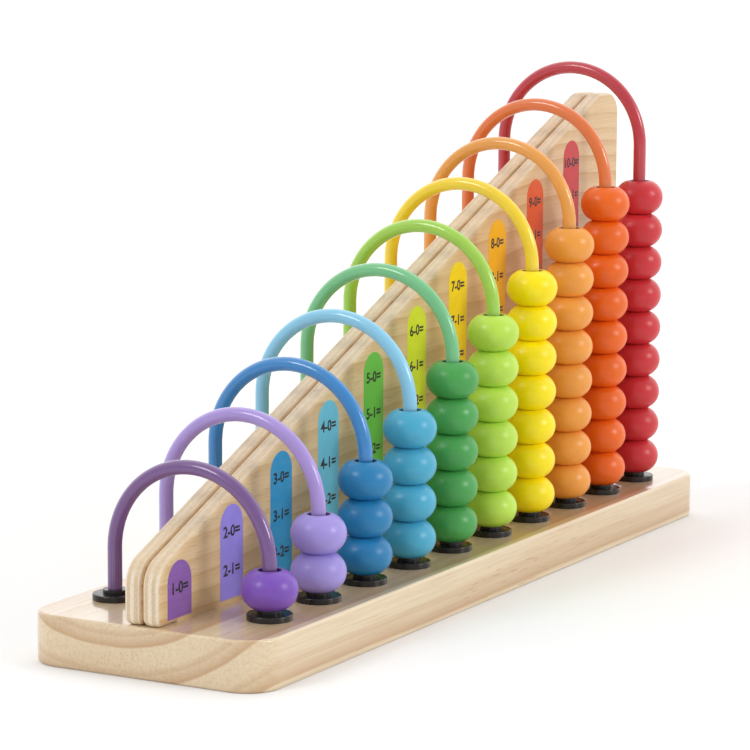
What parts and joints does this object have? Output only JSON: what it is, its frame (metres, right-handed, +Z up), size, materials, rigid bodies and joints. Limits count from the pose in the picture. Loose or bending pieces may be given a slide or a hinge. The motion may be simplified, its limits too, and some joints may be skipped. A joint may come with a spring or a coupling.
{
  "type": "arched-rod bead abacus",
  "caption": "Tabletop counting frame: arched rods of rising height stand across a plank and carry painted wooden beads over a sloping pair of number boards.",
  "frame": {"origin": "middle of the base board's underside", "axes": "+Z up; +X along the base from the one-bead column to the ten-bead column; -Y towards the side where the beads stand"},
  "size_m": [0.4166, 0.1086, 0.2197],
  "materials": {
    "base_pine": "clear lacquer, semi-gloss",
    "board_ply": "clear lacquer, satin",
    "screw_steel": "zinc plated",
    "foot_plastic": "gloss moulded",
    "rod_purple": "gloss coating",
    "rod_lilac": "gloss coating",
    "rod_blue": "gloss coating",
    "rod_light_blue": "gloss coating",
    "rod_green": "gloss coating",
    "rod_lime": "gloss coating",
    "rod_yellow": "gloss coating",
    "rod_light_orange": "gloss coating",
    "rod_orange": "gloss coating",
    "rod_red": "gloss coating",
    "bead_purple": "satin paint",
    "bead_lilac": "satin paint",
    "bead_blue": "satin paint",
    "bead_light_blue": "satin paint",
    "bead_green": "satin paint",
    "bead_lime": "satin paint",
    "bead_yellow": "satin paint",
    "bead_light_orange": "satin paint",
    "bead_orange": "satin paint",
    "bead_red": "satin paint"
  },
  "bodies": {
    "frame": {"base_board": "base_pine", "front_number_board": "board_ply", "back_number_board": "board_ply", "board_screws": "screw_steel", "front_rod_feet": "foot_plastic", "back_rod_feet": "foot_plastic", "column_01_rod": "rod_purple", "column_02_rod": "rod_lilac", "column_03_rod": "rod_blue", "column_04_rod": "rod_light_blue", "column_05_rod": "rod_green", "column_06_rod": "rod_lime", "column_07_rod": "rod_yellow", "column_08_rod": "rod_light_orange", "column_09_rod": "rod_orange", "column_10_rod": "rod_red"},
    "column_01_bead_1": {"column_01_bead_1": "bead_purple"},
    "column_02_bead_1": {"column_02_bead_1": "bead_lilac"},
    "column_02_bead_2": {"column_02_bead_2": "bead_lilac"},
    "column_03_bead_1": {"column_03_bead_1": "bead_blue"},
    "column_03_bead_2": {"column_03_bead_2": "bead_blue"},
    "column_03_bead_3": {"column_03_bead_3": "bead_blue"},
    "column_04_bead_1": {"column_04_bead_1": "bead_light_blue"},
    "column_04_bead_2": {"column_04_bead_2": "bead_light_blue"},
    "column_04_bead_3": {"column_04_bead_3": "bead_light_blue"},
    "column_04_bead_4": {"column_04_bead_4": "bead_light_blue"},
    "column_05_bead_1": {"column_05_bead_1": "bead_green"},
    "column_05_bead_2": {"column_05_bead_2": "bead_green"},
    "column_05_bead_3": {"column_05_bead_3": "bead_green"},
    "column_05_bead_4": {"column_05_bead_4": "bead_green"},
    "column_05_bead_5": {"column_05_bead_5": "bead_green"},
    "column_06_lower_beads": {"column_06_lower_beads": "bead_lime"},
    "column_06_bead_3": {"column_06_bead_3": "bead_lime"},
    "column_06_bead_4": {"column_06_bead_4": "bead_lime"},
    "column_06_bead_5": {"column_06_bead_5": "bead_lime"},
    "column_06_bead_6": {"column_06_bead_6": "bead_lime"},
    "column_07_lower_beads": {"column_07_lower_beads": "bead_yellow"},
    "column_07_bead_4": {"column_07_bead_4": "bead_yellow"},
    "column_07_bead_5": {"column_07_bead_5": "bead_yellow"},
    "column_07_bead_6": {"column_07_bead_6": "bead_yellow"},
    "column_07_bead_7": {"column_07_bead_7": "bead_yellow"},
    "column_08_lower_beads": {"column_08_lower_beads": "bead_light_orange"},
    "column_08_bead_5": {"column_08_bead_5": "bead_light_orange"},
    "column_08_bead_6": {"column_08_bead_6": "bead_light_orange"},
    "column_08_bead_7": {"column_08_bead_7": "bead_light_orange"},
    "column_08_bead_8": {"column_08_bead_8": "bead_light_orange"},
    "column_09_lower_beads": {"column_09_lower_beads": "bead_orange"},
    "column_09_bead_6": {"column_09_bead_6": "bead_orange"},
    "column_09_bead_7": {"column_09_bead_7": "bead_orange"},
    "column_09_bead_8": {"column_09_bead_8": "bead_orange"},
    "column_09_bead_9": {"column_09_bead_9": "bead_orange"},
    "column_10_lower_beads": {"column_10_lower_beads": "bead_red"},
    "column_10_bead_6": {"column_10_bead_6": "bead_red"},
    "column_10_bead_7": {"column_10_bead_7": "bead_red"},
    "column_10_bead_8": {"column_10_bead_8": "bead_red"},
    "column_10_bead_9": {"column_10_bead_9": "bead_red"},
    "column_10_bead_10": {"column_10_bead_10": "bead_red"}
  },
  "joints": [
    {"name": "column_01_bead_1_lift", "type": "slide", "parent": "frame", "child": "column_01_bead_1", "axis": [0, 0, 1], "range_m": [0, 0.01]},
    {"name": "column_02_bead_1_lift", "type": "slide", "parent": "frame", "child": "column_02_bead_1", "axis": [0, 0, 1], "range_m": [0, 0.005]},
    {"name": "column_02_bead_2_lift", "type": "slide", "parent": "column_02_bead_1", "child": "column_02_bead_2", "axis": [0, 0, 1], "range_m": [0, 0.005]},
    {"name": "column_03_bead_1_lift", "type": "slide", "parent": "frame", "child": "column_03_bead_1", "axis": [0, 0, 1], "range_m": [0, 0.0025]},
    {"name": "column_03_bead_2_lift", "type": "slide", "parent": "column_03_bead_1", "child": "column_03_bead_2", "axis": [0, 0, 1], "range_m": [0, 0.0025]},
    {"name": "column_03_bead_3_lift", "type": "slide", "parent": "column_03_bead_2", "child": "column_03_bead_3", "axis": [0, 0, 1], "range_m": [0, 0.005]},
    {"name": "column_04_bead_1_lift", "type": "slide", "parent": "frame", "child": "column_04_bead_1", "axis": [0, 0, 1], "range_m": [0, 0.00167]},
    {"name": "column_04_bead_2_lift", "type": "slide", "parent": "column_04_bead_1", "child": "column_04_bead_2", "axis": [0, 0, 1], "range_m": [0, 0.00167]},
    {"name": "column_04_bead_3_lift", "type": "slide", "parent": "column_04_bead_2", "child": "column_04_bead_3", "axis": [0, 0, 1], "range_m": [0, 0.00167]},
    {"name": "column_04_bead_4_lift", "type": "slide", "parent": "column_04_bead_3", "child": "column_04_bead_4", "axis": [0, 0, 1], "range_m": [0, 0.005]},
    {"name": "column_05_bead_1_lift", "type": "slide", "parent": "frame", "child": "column_05_bead_1", "axis": [0, 0, 1], "range_m": [0, 0.00125]},
    {"name": "column_05_bead_2_lift", "type": "slide", "parent": "column_05_bead_1", "child": "column_05_bead_2", "axis": [0, 0, 1], "range_m": [0, 0.00125]},
    {"name": "column_05_bead_3_lift", "type": "slide", "parent": "column_05_bead_2", "child": "column_05_bead_3", "axis": [0, 0, 1], "range_m": [0, 0.00125]},
    {"name": "column_05_bead_4_lift", "type": "slide", "parent": "column_05_bead_3", "child": "column_05_bead_4", "axis": [0, 0, 1], "range_m": [0, 0.00125]},
    {"name": "column_05_bead_5_lift", "type": "slide", "parent": "column_05_bead_4", "child": "column_05_bead_5", "axis": [0, 0, 1], "range_m": [0, 0.005]},
    {"name": "column_06_lower_beads_lift", "type": "slide", "parent": "frame", "child": "column_06_lower_beads", "axis": [0, 0, 1], "range_m": [0, 0.00125]},
    {"name": "column_06_bead_3_lift", "type": "slide", "parent": "column_06_lower_beads", "child": "column_06_bead_3", "axis": [0, 0, 1], "range_m": [0, 0.00125]},
    {"name": "column_06_bead_4_lift", "type": "slide", "parent": "column_06_bead_3", "child": "column_06_bead_4", "axis": [0, 0, 1], "range_m": [0, 0.00125]},
    {"name": "column_06_bead_5_lift", "type": "slide", "parent": "column_06_bead_4", "child": "column_06_bead_5", "axis": [0, 0, 1], "range_m": [0, 0.00125]},
    {"name": "column_06_bead_6_lift", "type": "slide", "parent": "column_06_bead_5", "child": "column_06_bead_6", "axis": [0, 0, 1], "range_m": [0, 0.005]},
    {"name": "column_07_lower_beads_lift", "type": "slide", "parent": "frame", "child": "column_07_lower_beads", "axis": [0, 0, 1], "range_m": [0, 0.00125]},
    {"name": "column_07_bead_4_lift", "type": "slide", "parent": "column_07_lower_beads", "child": "column_07_bead_4", "axis": [0, 0, 1], "range_m": [0, 0.00125]},
    {"name": "column_07_bead_5_lift", "type": "slide", "parent": "column_07_bead_4", "child": "column_07_bead_5", "axis": [0, 0, 1], "range_m": [0, 0.00125]},
    {"name": "column_07_bead_6_lift", "type": "slide", "parent": "column_07_bead_5", "child": "column_07_bead_6", "axis": [0, 0, 1], "range_m": [0, 0.00125]},
    {"name": "column_07_bead_7_lift", "type": "slide", "parent": "column_07_bead_6", "child": "column_07_bead_7", "axis": [0, 0, 1], "range_m": [0, 0.005]},
    {"name": "column_08_lower_beads_lift", "type": "slide", "parent": "frame", "child": "column_08_lower_beads", "axis": [0, 0, 1], "range_m": [0, 0.00125]},
    {"name": "column_08_bead_5_lift", "type": "slide", "parent": "column_08_lower_beads", "child": "column_08_bead_5", "axis": [0, 0, 1], "range_m": [0, 0.00125]},
    {"name": "column_08_bead_6_lift", "type": "slide", "parent": "column_08_bead_5", "child": "column_08_bead_6", "axis": [0, 0, 1], "range_m": [0, 0.00125]},
    {"name": "column_08_bead_7_lift", "type": "slide", "parent": "column_08_bead_6", "child": "column_08_bead_7", "axis": [0, 0, 1], "range_m": [0, 0.00125]},
    {"name": "column_08_bead_8_lift", "type": "slide", "parent": "column_08_bead_7", "child": "column_08_bead_8", "axis": [0, 0, 1], "range_m": [0, 0.005]},
    {"name": "column_09_lower_beads_lift", "type": "slide", "parent": "frame", "child": "column_09_lower_beads", "axis": [0, 0, 1], "range_m": [0, 0.00125]},
    {"name": "column_09_bead_6_lift", "type": "slide", "parent": "column_09_lower_beads", "child": "column_09_bead_6", "axis": [0, 0, 1], "range_m": [0, 0.00125]},
    {"name": "column_09_bead_7_lift", "type": "slide", "parent": "column_09_bead_6", "child": "column_09_bead_7", "axis": [0, 0, 1], "range_m": [0, 0.00125]},
    {"name": "column_09_bead_8_lift", "type": "slide", "parent": "column_09_bead_7", "child": "column_09_bead_8", "axis": [0, 0, 1], "range_m": [0, 0.00125]},
    {"name": "column_09_bead_9_lift", "type": "slide", "parent": "column_09_bead_8", "child": "column_09_bead_9", "axis": [0, 0, 1], "range_m": [0, 0.005]},
    {"name": "column_10_lower_beads_lift", "type": "slide", "parent": "frame", "child": "column_10_lower_beads", "axis": [0, 0, 1], "range_m": [0, 0.00319]},
    {"name": "column_10_bead_6_lift", "type": "slide", "parent": "column_10_lower_beads", "child": "column_10_bead_6", "axis": [0, 0, 1], "range_m": [0, 0.00319]},
    {"name": "column_10_bead_7_lift", "type": "slide", "parent": "column_10_bead_6", "child": "column_10_bead_7", "axis": [0, 0, 1], "range_m": [0, 0.00319]},
    {"name": "column_10_bead_8_lift", "type": "slide", "parent": "column_10_bead_7", "child": "column_10_bead_8", "axis": [0, 0, 1], "range_m": [0, 0.00319]},
    {"name": "column_10_bead_9_lift", "type": "slide", "parent": "column_10_bead_8", "child": "column_10_bead_9", "axis": [0, 0, 1], "range_m": [0, 0.01276]},
    {"name": "column_10_bead_10_lift", "type": "slide", "parent": "frame", "child": "column_10_bead_10", "axis": [0, 0, 1], "range_m": [0, 0.1498]}
  ]
}
